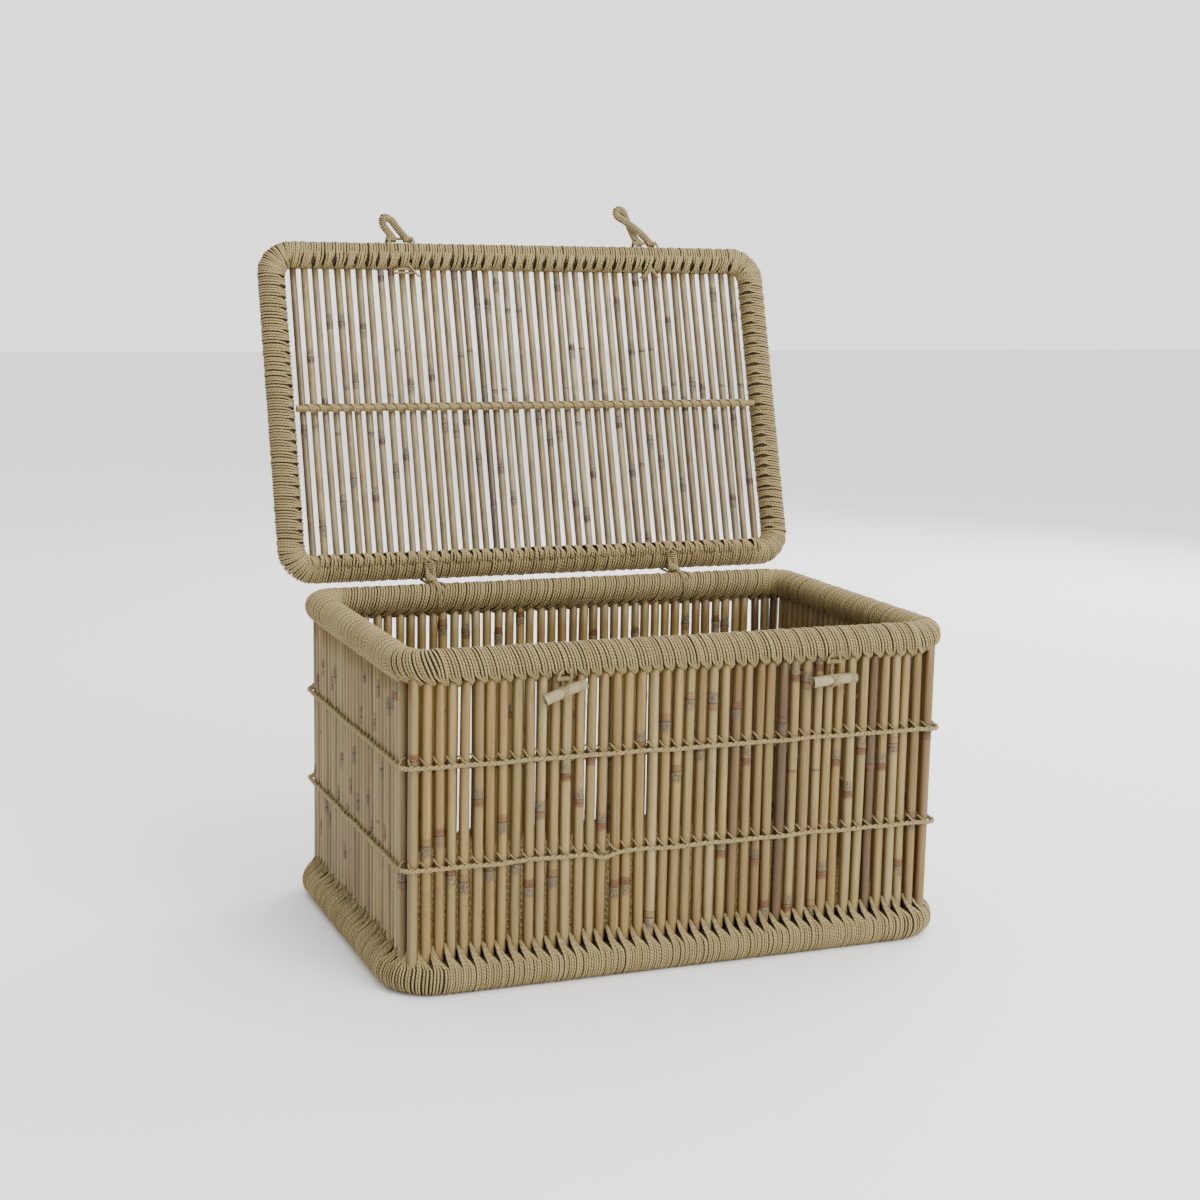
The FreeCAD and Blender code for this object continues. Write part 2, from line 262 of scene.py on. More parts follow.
def twineShader(name, light, dark, lay, depth=1.0):
    # UV runs along the strand in centimetres and once round it
    s = Shader(name, 0.82)
    split = s.add("ShaderNodeSeparateXYZ", {}, {0: s.add("ShaderNodeUVMap", {"uv_map": "UVMap"})})
    u = split
    v = Value(s, split.link.node.outputs[1])
    crest = s.mark("crest")
    tone = s.mark("tone")
    place = s.place()
    wander = s.grain(place, 90.0, 2.0) * 1.2
    twist = s.maths("SINE", (u * lay + v * 2 + tone * 5 + wander) * math.tau)
    ply = s.maths("POWER", twist * 0.5 + 0.5, 0.6)
    lie = s.add("ShaderNodeCombineXYZ", {}, {0: u * 3 + v * 7, 1: v * 26 - u * 14, 2: tone * 40})
    fibre = s.grain(lie, 3.0, 3.0)
    patch = s.grain(place, 30.0, 3.0)
    # painted shade: each strand darkens where it turns in towards its neighbours (crest) and in the grooves
    # of the ply twist, and is lighter on the ply crests as a painted highlight
    open = s.clamp(crest * 0.85 + 0.2)
    open = s.maths("POWER", open, depth)
    shade = s.clamp(open * (ply * 0.5 + 0.5) + (fibre - 0.5) * 0.35)
    color = s.mix(shade, dark, light)
    brown = s.mix(1.0, color, (0.72, 0.62, 0.48), "MULTIPLY")
    color = s.mix(s.clamp((tone - 0.5) * 1.6) * 0.5, color, brown)
    green = s.mix(1.0, color, (1.08, 1.14, 1.0), "MULTIPLY")
    color = s.mix(s.clamp((0.4 - tone) * 1.6) * 0.6, color, green)
    olive = s.mix(1.0, color, (0.80, 0.80, 0.62), "MULTIPLY")
    color = s.mix(s.clamp((patch - 0.52) * 3.0) * 0.6, color, olive)
    s.feed("Base Color", color)
    s.feed("Roughness", 0.70 + fibre * 0.22)
    s.feed("Normal", s.bump(ply * 0.8 + fibre * 0.45, 0.9, 0.0008))
    s.surface.inputs["Specular IOR Level"].default_value = 0.28
    return s.material


def coreShader():
    s = Shader("packingFibreShade", 0.95)
    fibre = s.grain(s.place(), 600.0, 4.0)
    # the packing is coloured near black, darker than the twine: painted shade for the gaps between the
    # windings, laid over the packing's own fibre grain
    s.feed("Base Color", s.mix(fibre, (0.030, 0.019, 0.009), (0.095, 0.066, 0.032)))
    s.feed("Normal", s.bump(fibre, 0.6, 0.001))
    return s.material


def pithShader():
    s = Shader("cutCane", 0.85)
    dots = s.grain(s.place(), 1500.0, 2.0)
    s.feed("Base Color", s.mix(dots, (0.20, 0.15, 0.08), (0.42, 0.36, 0.24)))
    s.feed("Normal", s.bump(dots, 0.5, 0.0003))
    return s.material


wallPalette = [
    (0.0, (0.104, 0.061, 0.019)), (0.1, (0.180, 0.113, 0.034)), (0.3, (0.223, 0.152, 0.048)),
    (0.5, (0.242, 0.174, 0.065)), (0.7, (0.256, 0.174, 0.053)), (0.85, (0.245, 0.193, 0.071)),
    (1.0, (0.300, 0.226, 0.099)),
]
lidPalette = [
    (0.0, (0.094, 0.064, 0.030)), (0.15, (0.165, 0.120, 0.056)), (0.4, (0.215, 0.166, 0.082)),
    (0.6, (0.226, 0.182, 0.100)), (0.85, (0.248, 0.187, 0.082)), (1.0, (0.303, 0.251, 0.144)),
]
togglePalette = [(0.0, (0.26, 0.225, 0.125)), (1.0, (0.34, 0.295, 0.170))]
lidAngle = math.radians(hinge["range_deg"][1])
leanBack = lidAngle - math.pi / 2
materials = {
    "wall": caneShader("wallCane", (0, 0, 0), wallPalette, 0.46, (0.150, 0.050, 0.011)),
    "lid": caneShader("lidCane", (leanBack, 0, 0), lidPalette, 0.32, (0.085, 0.040, 0.020)),
    "floor": caneShader("floorCane", (math.pi / 2, 0, 0), wallPalette, 0.55),
    "bar": caneShader("barCane", (0, math.pi / 2, 0), wallPalette, 0.5),
    "toggle": caneShader("toggleCane", (0, math.pi / 2, 0), togglePalette, 0.6),
    "twine": twineShader("seagrassTwine", (0.430, 0.332, 0.155), (0.022, 0.013, 0.005), 2.5, 1.7),
    "cord": twineShader("tyingCord", (0.40, 0.312, 0.155), (0.045, 0.028, 0.012), 2.9),
    "core": coreShader(),
    "pith": pithShader(),
}
print("stage: materials made")


# ---- mesh tools
def finish(name, mesh, body, material, replaces=(), place=None):
    if place is not None:
        mesh.transform(place)
    mesh.materials.clear()
    mesh.materials.append(materials[material])
    piece = bpy.data.objects.new(name, mesh)
    bpy.context.scene.collection.objects.link(piece)
    if body:
        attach(piece, body)
    for node in replaces:
        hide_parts(node)
    return piece


def strands(lines, radius, sides=1, closed=False, away=None, tones=None):
    # sides is the bevel resolution: 1 gives six faces round, 2 gives eight.
    # away is the direction out of the lashing at each point, for the painted shade between strands
    curve = bpy.data.curves.new("strands", "CURVE")
    curve.dimensions = "3D"
    curve.bevel_depth = radius
    curve.bevel_resolution = sides
    total = 0
    lines = [np.asarray(line, float) for line in lines]
    for line in lines:
        spline = curve.splines.new("POLY")
        spline.points.add(len(line) - 1)
        spline.points.foreach_set("co", np.column_stack([line, np.ones(len(line))]).ravel())
        spline.use_cyclic_u = closed
        total += np.linalg.norm(np.diff(line, axis=0), axis=1).sum()
    holder = bpy.data.objects.new("strands", curve)
    bpy.context.scene.collection.objects.link(holder)
    mesh = bpy.data.meshes.new_from_object(holder)
    bpy.data.objects.remove(holder)
    bpy.data.curves.remove(curve)
    uv = mesh.uv_layers[0].data
    values = np.zeros(len(uv) * 2)
    uv.foreach_get("uv", values)
    values[0::2] *= total / len(lines) * 100
    uv.foreach_set("uv", values)
    points = np.concatenate(lines)
    around = len(mesh.vertices) // len(points)
    crest = np.full(len(mesh.vertices), 0.75)
    if away is not None:
        spots = np.zeros(len(mesh.vertices) * 3)
        mesh.vertices.foreach_get("co", spots)
        offsets = spots.reshape(-1, 3) - np.repeat(points, around, axis=0)
        crest = (offsets * np.repeat(away, around, axis=0)).sum(axis=1) / radius
    if not closed:
        bm = bmesh.new()
        bm.from_mesh(mesh)
        bmesh.ops.holes_fill(bm, edges=[e for e in bm.edges if e.is_boundary])
        bmesh.ops.recalc_face_normals(bm, faces=bm.faces)
        bm.to_mesh(mesh)
        bm.free()
    if tones is None:
        tones = np.concatenate([np.full(len(line), noise.random()) for line in lines])
    mesh.attributes.new("crest", "FLOAT", "POINT").data.foreach_set("value", crest)
    mesh.attributes.new("tone", "FLOAT", "POINT").data.foreach_set("value", np.repeat(tones, around))
    return mesh


def joined(meshes):
    bm = bmesh.new()
    for mesh in meshes:
        bm.from_mesh(mesh)
        bpy.data.meshes.remove(mesh)
    mesh = bpy.data.meshes.new("joined")
    bm.to_mesh(mesh)
    bm.free()
    mesh.shade_smooth()
    return mesh


class Ring:
    # a rounded rectangle, followed counterclockwise from its right-hand side
    def __init__(self, halfX, lowY, highY, corner):
        self.corner = corner
        self.arc = corner * math.pi / 2
        self.centres = [
            (halfX - corner, highY - corner), (-halfX + corner, highY - corner),
            (-halfX + corner, lowY + corner), (halfX - corner, lowY + corner),
        ]
        wide = 2 * (halfX - corner)
        deep = highY - lowY - 2 * corner
        self.straights = [wide, deep, wide, deep]
        self.starts = []
        run = 0.0
        for straight in self.straights:
            self.starts.append(run)
            run += self.arc + straight
        self.length = run

    def at(self, s):
        s = np.mod(s, self.length)
        x, y, nx, ny = (np.zeros_like(s) for _ in range(4))
        for i, (cx, cy) in enumerate(self.centres):
            t = s - self.starts[i]
            bend = (t >= 0) & (t < self.arc)
            a = i * math.pi / 2 + t[bend] / self.corner
            nx[bend], ny[bend] = np.cos(a), np.sin(a)
            x[bend] = cx + self.corner * nx[bend]
            y[bend] = cy + self.corner * ny[bend]
            line = (t >= self.arc) & (t < self.arc + self.straights[i])
            a = (i + 1) * math.pi / 2
            along = t[line] - self.arc
            nx[line], ny[line] = math.cos(a), math.sin(a)
            x[line] = cx + self.corner * math.cos(a) - math.sin(a) * along
            y[line] = cy + self.corner * math.sin(a) + math.cos(a) * along
        return x, y, nx, ny

    def edges(self, pitches, parities, fill=0.0135):
        # cell edges fall on the gaps between canes, and the corners are filled evenly
        found = []
        for i, straight in enumerate(self.straights):
            middle = self.starts[i] + self.arc + straight / 2
            pitch = pitches[i % 2]
            shift = parities[i % 2] * 0.5
            count = int((straight / 2 + 0.002) / pitch + shift)
            spots = [middle + (k + shift) * pitch for k in range(-count, count + 1)]
            found.append([p for p in spots if abs(p - middle) < straight / 2 + 0.002])
        edges = []
        for i, spots in enumerate(found):
            following = found[(i + 1) % 4][0] + (self.length if i == 3 else 0)
            gap = following - spots[-1]
            steps = max(1, round(gap / fill))
            edges += spots + [spots[-1] + gap * k / steps for k in range(1, steps)]
        return edges + [edges[0] + self.length]

    def side(self, s):
        s = s % self.length
        for i in range(4):
            if s < self.starts[i] + self.arc + self.straights[i] + self.arc / 2:
                return i
        return 0


def smooth(t):
    t = np.clip(t, 0, 1)
    return t * t * (3 - 2 * t)


def winding(ring, edges, spec):
    # one long strand: several turns to a cell, gathered at the gap between two canes
    theta = np.linspace(0, math.tau, spec["steps"], endpoint=False)
    away = np.minimum(theta, math.tau - theta)
    spread = smooth((away - spec["tight"]) / spec["reach"])
    lean = smooth(np.where(theta < math.pi, theta, math.tau - theta) / math.pi)
    slots = np.exp(-((away - spec["slotAt"]) / 0.30) ** 2) * spec["slot"]
    radius = spec["radius"]
    peak = radius + spec["lift"]
    tangent = math.acos(radius / peak)
    distance = np.where(away < tangent, radius / np.cos(np.clip(tangent - away, 0, 1.5)), radius)
    angle = spec["from"] + spec["way"] * theta
    count = spec["turns"]
    points, outward, tones = [], [], []
    for a, b in zip(edges[:-1], edges[1:]):
        width = b - a
        side = ring.side((a + b) / 2)
        apex = a + width * spec["apex"][side] + noise.normal(0, 0.0004)
        tall = 1 + noise.normal(0, spec["ragged"])
        notch = slots * spec["slotSides"][side] * (0.6 + 0.8 * noise.random())
        hollow = 1 - spec["even"][side]
        for j in range(count):
            wideAt = a + (j + 0.5) / count * width + noise.normal(0, spec["wander"])
            tightAt = apex + (j - (count - 1) / 2) * spec["pinch"]
            mixed = 1 - (1 - spread) * hollow
            s = tightAt + (wideAt - tightAt) * mixed - spec["slant"] * lean * spread
            s = s - notch * (j - (count - 1) / 2) * width / count * 0.5
            x, y, nx, ny = ring.at(s)
            swell = radius + (distance - radius) * tall * (1 - 0.13 * abs(j - 1)) * hollow
            r = swell + noise.normal(0, 0.0002) + 0.00035 * math.cos(j * 2.1)
            shift = spec["inward"] * (1 - spread) * (np.cos(theta) > 0)
            out = r * np.cos(angle) - shift
            z = spec["height"] + r * np.sin(angle)
            z = np.maximum(z, spec.get("floor", -9.0))
            points.append(np.column_stack([x + nx * out, y + ny * out, z]))
            outward.append(np.column_stack([nx * np.cos(angle), ny * np.cos(angle), np.sin(angle)]))
            tones.append(np.full(len(theta), noise.random()))
    return np.concatenate(points), np.concatenate(outward), np.concatenate(tones)


def wound(ring, edges, spec, thick):
    line, away, tones = winding(ring, edges, spec)
    return strands([line], thick, away=away, tones=tones)


def core(ring, height, radius, steps=220):
    x, y, nx, ny = ring.at(np.linspace(0, ring.length, steps, endpoint=False))
    return strands([np.column_stack([x, y, np.full_like(x, height)])], radius, 4, closed=True)


def coil(path, radius, pitch, steps=8, start=0.0, wide=None, flat=(1.0, 1.0)):
    # a helix round any path, with its outward direction; wide turns the helix into a flattened one
    path = np.asarray(path, float)
    runs = np.linalg.norm(np.diff(path, axis=0), axis=1)
    along = np.concatenate([[0], np.cumsum(runs)])
    turns = along[-1] / pitch
    s = np.linspace(0, along[-1], max(4, int(turns * steps)))
    centre = np.column_stack([np.interp(s, along, path[:, k]) for k in range(3)])
    tangent = np.gradient(centre, axis=0)
    tangent /= np.linalg.norm(tangent, axis=1)[:, None]
    normals = []
    normal = np.array(wide if wide is not None else (0.31, 0.87, 0.38), float)
    for t in tangent:
        normal = normal - t * (normal @ t)
        normal /= np.linalg.norm(normal)
        normals.append(normal)
    normals = np.array(normals)
    binormals = np.cross(tangent, normals)
    angle = start + s / pitch * math.tau
    ring = normals * (np.cos(angle) * flat[0])[:, None] + binormals * (np.sin(angle) * flat[1])[:, None]
    return centre + ring * radius, ring / np.linalg.norm(ring, axis=1)[:, None]


def coiled(path, radius, pitch, thick, **options):
    line, away = coil(path, radius, pitch, **options)
    return strands([line], thick, away=away)


def curved(points, steps=10):
    # a smooth line through a few points
    points = [Vector(p) for p in points]
    line = []
    padded = [points[0]] + points + [points[-1]]
    for a, b, c, d in zip(padded, padded[1:], padded[2:], padded[3:]):
        for k in range(steps):
            t = k / steps
            square = (2 * a - 5 * b + 4 * c - d) * t * t
            cube = (3 * b - a - 3 * c + d) * t ** 3
            p = 0.5 * (2 * b + (c - a) * t + square + cube)
            line.append(p)
    line.append(points[-1])
    return np.array(line)


# ---- canes
nodeSwell = ((-0.012, 1.0), (-0.004, 1.02), (-0.0009, 1.075), (0, 1.03), (0.0009, 1.05), (0.007, 0.985))


def cane(foot, top, radius, nodes, tone, segments=12, across=0, side=0):
    # one stem: rings extruded from its foot to its top, swollen at each node.
    # across is the axis towards its neighbours; side keeps the painted shade to one flank
    bm = bmesh.new()
    toneLayer = bm.verts.layers.float.new("tone")
    nodeLayer = bm.verts.layers.float.new("nodeAt")
    kindLayer = bm.verts.layers.float.new("nodeKind")
    edgeLayer = bm.verts.layers.float.new("edge")
    length = (top - foot).length
    bow = Vector((random.gauss(0, 1), random.gauss(0, 1), 0)) * 0.0005
    stations = {k / 8 * length: 1.0 for k in range(9)}
    for at, _ in nodes:
        for offset, swell in nodeSwell:
            if 0 < at + offset < length:
                stations[at + offset] = swell
    heights = sorted(stations)
    loop = bmesh.ops.create_circle(bm, segments=segments, radius=radius)["verts"]
    edges = list(bm.edges)
    placed = []
    previous = 0.0
    for i, height in enumerate(heights):
        if i > 0:
            grown = bmesh.ops.extrude_edge_only(bm, edges=edges)["geom"]
            loop = [g for g in grown if isinstance(g, bmesh.types.BMVert)]
            edges = [g for g in grown if isinstance(g, bmesh.types.BMEdge)]
            bmesh.ops.translate(bm, verts=loop, vec=(0, 0, height - previous))
        previous = height
        placed.append((list(loop), height))
    for verts, height in placed:
        near = min(nodes, key=lambda n: abs(n[0] - height)) if nodes else (9.0, 0.0)
        taper = 1.02 - 0.045 * height / length
        centre = foot + (top - foot) * (height / length) + bow * math.sin(math.pi * height / length)
        for v in verts:
            v.co.x = v.co.x * stations[height] * taper + centre.x
            v.co.y = v.co.y * stations[height] * taper + centre.y
            v.co.z = centre.z
            # edge is how far out to the flank a vertex lies, for the painted shade between canes
            offset = (v.co[across] - centre[across]) / radius
            v[edgeLayer] = max(0.0, side * offset) if side else abs(offset)
            v[toneLayer] = tone
            v[nodeLayer] = height - near[0]
            v[kindLayer] = near[1]
    bmesh.ops.contextual_create(bm, geom=edges)
    bmesh.ops.recalc_face_normals(bm, faces=bm.faces)
    mesh = bpy.data.meshes.new("cane")
    bm.to_mesh(mesh)
    bm.free()
    return mesh


def someNodes(length, spacing):
    nodes = []
    at = random.uniform(-0.6, 1.0) * spacing
    while at < length - 0.01:
        if at > 0.01:
            nodes.append((at, random.random()))
        at += spacing * random.uniform(0.75, 1.25)
    return nodes


wallCanes = {
    "count": (44, 27), "side": 0.0058, "plump": 1.015, "size": (0.93, 1.05), "wander": 0.0008,
    "nodeSpacing": 0.30, "endGap": 0.004, "dark": {"back": [41]},
}


def makeWalls():
    for wall in ("front", "back", "left", "right"):
        low, high = (Vector(c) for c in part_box(wall + "_canes"))
        across = 0 if wall in ("front", "back") else 1
        count = wallCanes["count"][across]
        radius = wallCanes["side"]
        middle = (low + high) / 2
        stems = []
        for i in range(count):
            at = low[across] + radius + i * (high[across] - low[across] - 2 * radius) / (count - 1)
            foot = Vector((middle.x, middle.y, low.z + wallCanes["endGap"]))
            top = Vector((middle.x, middle.y, high.z - wallCanes["endGap"]))
            foot[across] = at + random.gauss(0, 1) * wallCanes["wander"]
            top[across] = at + random.gauss(0, 1) * wallCanes["wander"]
            tone = min(1, max(0, random.gauss(0.55, 0.26)))
            if i in wallCanes["dark"].get(wall, []):
                tone = 0.0
            size = radius * wallCanes["plump"] * random.uniform(*wallCanes["size"])
            nodes = someNodes((top - foot).length, wallCanes["nodeSpacing"])
            stems.append(cane(foot, top, size, nodes, tone, across=across))
        finish(wall + "WallCanes", joined(stems), "trunk", "wall", [wall + "_canes"])


# ---- rim, base and lid rolls
rimLow, rimHigh = (Vector(c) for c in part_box("rim_wrap"))
rimRadius = (rimHigh.z - rimLow.z) / 2
rim = {
    "height": (rimHigh.z + rimLow.z) / 2, "radius": rimRadius - 0.0016, "corner": 0.028, "turns": 4,
    "steps": 18,
    "tight": 0.0, "reach": 0.95, "slant": 0.0095, "apex": (1, 1, 1, 1), "pinch": 0.0006, "lift": 0.0062,
    "ragged": 0.06, "from": -math.pi / 2, "way": 1, "inward": 0.0, "slot": 0.0, "slotAt": 1.0,
    "slotSides": (0, 0, 0, 0), "even": (0, 0, 0, 0), "wander": 0.00026,
}
baseLow, baseHigh = (Vector(c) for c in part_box("base_wrap"))
baseRadius = 0.019
base = {
    "height": baseHigh.z - baseRadius, "radius": baseRadius - 0.0016, "corner": 0.045, "turns": 5,
    "steps": 22,
    "tight": 0.02, "reach": 0.95, "slant": 0.002, "apex": (0, 1, 0, 0), "pinch": 0.0011, "lift": 0.0140,
    "ragged": 0.14, "from": math.pi / 2, "way": -1, "inward": 0.002, "floor": 0.0015,
    "slot": 0.0, "slotAt": 1.0,
    "slotSides": (0, 0, 0, 0), "even": (0, 0, 0, 0), "wander": 0.00024,
}
lidLow, lidHigh = (Vector(c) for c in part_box("lid_wrap"))
lidRadius = 0.017
lid = {
    "height": 0.0, "radius": lidRadius - 0.0016, "corner": 0.026, "turns": 4, "steps": 20,
    "tight": 0.06, "reach": 1.0, "slant": 0.005, "apex": (0, 0, 0, 0), "pinch": 0.0011, "lift": 0.0006,
    "ragged": 0.05, "from": math.pi, "way": -1, "inward": 0.0, "slot": 0.75, "slotAt": 0.85,
    "slotSides": (1.3, 1, 1.3, 1), "even": (0.1, 0.8, 0.1, 0.8), "wander": 0.0003,
    "lumpRise": 0.0026, "lumpCord": 0.0015,
}
backRail = Vector((0, lidLow.y + lidRadius, lidLow.z + lidRadius))
frontRail = Vector((0, lidHigh.y - lidRadius, lidHigh.z - lidRadius))
lidUp = (frontRail - backRail).normalized()
lidInner = Vector((1, 0, 0)).cross(lidUp)
lidReach = (frontRail - backRail).length
lidPlace = Matrix.Translation(backRail) @ Matrix((Vector((1, 0, 0)), lidUp, lidInner)).transposed().to_4x4()
lidPitch = 0.01372


def makeRolls():
    ring = Ring(rimHigh.x - rimRadius, rimLow.y + rimRadius, rimHigh.y - rimRadius, rim["corner"])
    twine = wound(ring, ring.edges((0.014, 0.014), (0, 1), 0.0095), rim, 0.0016)
    finish("rimTwine", twine, "trunk", "twine", ["rim_wrap"])
    finish("rimPacking", core(ring, rim["height"], rimRadius - 0.0026), "trunk", "core")
    ring = Ring(baseHigh.x - baseRadius, baseLow.y + baseRadius, baseHigh.y - baseRadius, base["corner"])
    twine = wound(ring, ring.edges((0.014, 0.014), (0, 1)), base, 0.0015)
    finish("baseTwine", twine, "trunk", "twine", ["base_wrap"])
    packing = core(ring, base["height"] + 0.001, baseRadius - 0.003)
    finish("basePacking", packing, "trunk", "core")
    ring = Ring(lidHigh.x - lidRadius, 0.0, lidReach, lid["corner"])
    edges = ring.edges((lidPitch, 0.0137), (0, 0), 0.0095)
    finish("lidTwine", wound(ring, edges, lid, 0.0016), "lid", "twine", ["lid_wrap"], lidPlace)
    finish("lidPacking", core(ring, 0.0, lidRadius - 0.0026), "lid", "core", (), lidPlace)
    makeLashings()


def railLine(rail, steps):
    # a cord over the lid's front or hinge rail: (x, turn from the outer side, rise) at each step
    line, away = [], []
    centre, out = (lidReach, 1) if rail == "front" else (0.0, -1)
    for x, turn, rise in steps:
        r = lidRadius + rise
        a = math.radians(turn)
        line.append((x, centre + out * r * math.cos(a), r * math.sin(a)))
        away.append((0, out * math.cos(a), math.sin(a)))
    return line, away


def makeLashings():
    # on the lid's inner face each cane end is bound to its rail by a lump of four strands
    rise, cord = lid["lumpRise"], lid["lumpCord"]
    for rail in ("front", "hinge"):
        lines, aways = [], []
        for i in range(44):
            x = (i - 21.5) * lidPitch
            size = 1 + random.gauss(0, 0.12)
            askew = random.gauss(0, 0.0011)
            for j in range(4):
                spot = j - 1.5 + random.gauss(0, 0.16)
                bend = random.gauss(0, 0.0006)
                steps = []
                for k in range(9):
                    t = k / 8
                    turn = 84 + 92 * t
                    hump = math.sin(math.pi * min(1, t * 1.04)) ** 0.6 * size
                    lift = -0.0022 + (rise + 0.0018 - 0.0003 * abs(spot)) * hump
                    if rail == "front":
                        gather = spot * 0.0012 * smooth(t * 1.3 - 0.3)
                        across = x + 0.0034 + spot * 0.0024 - (0.0075 + askew) * t - gather
                        across += bend * math.sin(math.pi * t)
                    else:
                        fan = (-1 if j < 2 else 1) * (0.0018 + 0.0026 * (j % 2 if j > 1 else 1 - j % 2))
                        across = x - lidPitch / 2 + fan * (1.25 - 1.05 * t)
                        across += (0.0012 + bend) * math.sin(t * 5) + askew * t
                    steps.append((across, turn, lift))
                line, away = railLine(rail, steps)
                lines.append(line)
                aways += away
        twine = strands(lines, cord, away=np.array(aways))
        finish(rail + "RailLashing", twine, "lid", "twine", (), lidPlace)


def makeLidCanes():
    stems = []
    for i in range(44):
        at = (i - 21.5) * lidPitch
        foot = Vector((at + random.gauss(0, 0.0007), 0, 0.006))
        top = Vector((at + random.gauss(0, 0.0007), 0, lidReach - 0.006))
        tone = min(1, max(0, random.gauss(0.5, 0.28)))
        size = 0.0045 * random.uniform(0.94, 1.07)
        stems.append(cane(foot, top, size, someNodes(lidReach, 0.24), tone, side=-1))
    turn = lidPlace @ Matrix.Rotation(-math.pi / 2, 4, "X")
    finish("lidCanes", joined(stems), "lid", "lid", ["lid_canes"], turn)


# ---- weft cords
# a kink is its x, its drop and its width
wefts = {
    "upper": {"swing": 0.0006, "kink": None},
    "lower": {"swing": 0.0008, "kink": (-0.092, -0.005, 0.012)},
    "ply": 0.00155, "twist": 0.00112, "lay": 0.0135, "loop": 0.00095,
}


def makeWefts():
    for level in ("upper", "lower"):
        spec = wefts[level]
        for where, sign in (("outer", 1), ("inner", -1)):
            node = "weft_" + level + "_" + where
            low, high = (Vector(c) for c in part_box(node))
            radius = (high.z - low.z) / 2
            height = (high.z + low.z) / 2
            corner = 0.012 if sign > 0 else 0.004
            ring = Ring(high.x - radius, low.y + radius, high.y - radius, corner)
            s = np.linspace(0, ring.length, int(ring.length / 0.0011), endpoint=False)
            x, y, nx, ny = ring.at(s)
            waves = [np.sin(s / ring.length * math.tau * k + k * 1.7 + sign) for k in (7, 19, 31)]
            sag = sum(waves) * spec["swing"] / 2
            if spec["kink"] and sign > 0:
                place, drop, width = spec["kink"]
                sag = sag + drop * np.exp(-((x - place) / width) ** 2) * (y < 0)
            lines = []
            turns = round(ring.length / wefts["lay"])
            for ply in (0, math.pi):
                angle = s / ring.length * math.tau * turns + ply
                out = wefts["twist"] * np.cos(angle)
                up = height + sag + wefts["twist"] * np.sin(angle)
                lines.append(np.column_stack([x + nx * out, y + ny * out, up]))
            plies = strands(lines, wefts["ply"], 1, closed=True)
            # a thin strand of each pass comes down out of the gap and joins the cord
            passes = []
            edges = ring.edges((0.014, 0.014), (0, 1))
            for gap in edges[:-1]:
                rise = random.uniform(0.0065, 0.0100)
                run = random.uniform(0.0065, 0.0095)
                spots = [
                    (0.0, -0.0080, rise), (0.0008, -0.0046, rise * 0.86), (run * 0.38, -0.0015, rise * 0.46),
                    (run * 0.75, 0.0006, rise * 0.2 + 0.0006), (run * 1.2, 0.0004, 0.0004),
                ]
                line = []
                for along, off, up in spots:
                    px, py, qx, qy = (float(c[0]) for c in ring.at(np.array([gap + sign * along])))
                    line.append((px + qx * off * sign, py + qy * off * sign, height + up))
                passes.append(curved(line, 4))
            name = "weft" + level.title() + where.title()
            cord = joined([plies, strands(passes, wefts["loop"])])
            finish(name, cord, "trunk", "cord", [node])


# ---- floor
floorMat = {"pitch": 0.0078, "thick": 0.0020, "swell": 0.0014}


def makeFloor():
    low, high = (Vector(c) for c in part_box("floor_mat"))
    middle = (low.z + high.z) / 2
    countX = int((high.x - low.x) / floorMat["pitch"])
    countY = int((high.y - low.y) / floorMat["pitch"])
    lines = []
    for j in range(countY):
        y = low.y + (j + 0.5) * (high.y - low.y) / countY
        inset = 0.004 if 0 < j < countY - 1 else 0.012
        x = np.linspace(low.x + inset, high.x - inset, countX * 2)
        phase = (x - low.x) / (high.x - low.x) * countX * math.pi + j * math.pi
        lines.append(np.column_stack([x, np.full_like(x, y), middle + floorMat["swell"] * np.sin(phase)]))
    weft = strands(lines, floorMat["thick"])
    lines = []
    for i in range(countX):
        x = low.x + (i + 0.5) * (high.x - low.x) / countX
        inset = 0.004 if 0 < i < countX - 1 else 0.012
        y = np.linspace(low.y + inset, high.y - inset, countY * 2)
        phase = (y - low.y) / (high.y - low.y) * countY * math.pi + (i + 1) * math.pi
        lines.append(np.column_stack([np.full_like(y, x), y, middle + floorMat["swell"] * np.sin(phase)]))
    warp = strands(lines, floorMat["thick"])
    finish("floorWeave", joined([weft, warp]), "trunk", "twine", ["floor_mat"])


# ---- crossbar of the lid
crossbar = {"ridge": 0.0046, "cord": 0.0013, "offsets": (-0.0022, 0.0, 0.0022)}


def makeCrossbar():
    half = (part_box("lid_crossbar")[1][0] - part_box("lid_crossbar")[0][0]) / 2
    barLow, barHigh = (Vector(c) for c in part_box("lid_crossbar_wrap"))
    centre = lidPlace.inverted() @ ((barLow + barHigh) / 2)
    ends = half - 0.011
    pieces = []
    for offset in crossbar["offsets"]:
        path = [(-ends + offset, centre.y, centre.z), (ends + offset, centre.y, centre.z)]
        pieces.append(coiled(path, crossbar["ridge"], lidPitch, crossbar["cord"], steps=16, wide=(0, 0, -1)))
    finish("crossbarTwine", joined(pieces), "lid", "twine", ["lid_crossbar_wrap"], lidPlace)


# ---- hinge lashings
def belt(first, firstRadius, second, secondRadius, x, steps=44):
    # the line of a cord pulled tight round two rolls, in the plane of one x
    line = []
    for k in range(steps):
        a = k / steps * math.tau
        d = np.array([math.cos(a), math.sin(a)])
        one = np.array(first) @ d + firstRadius
        two = np.array(second) @ d + secondRadius
        spot = np.array(first) + d * firstRadius if one > two else np.array(second) + d * secondRadius
        line.append((x, spot[0], spot[1]))
    return line


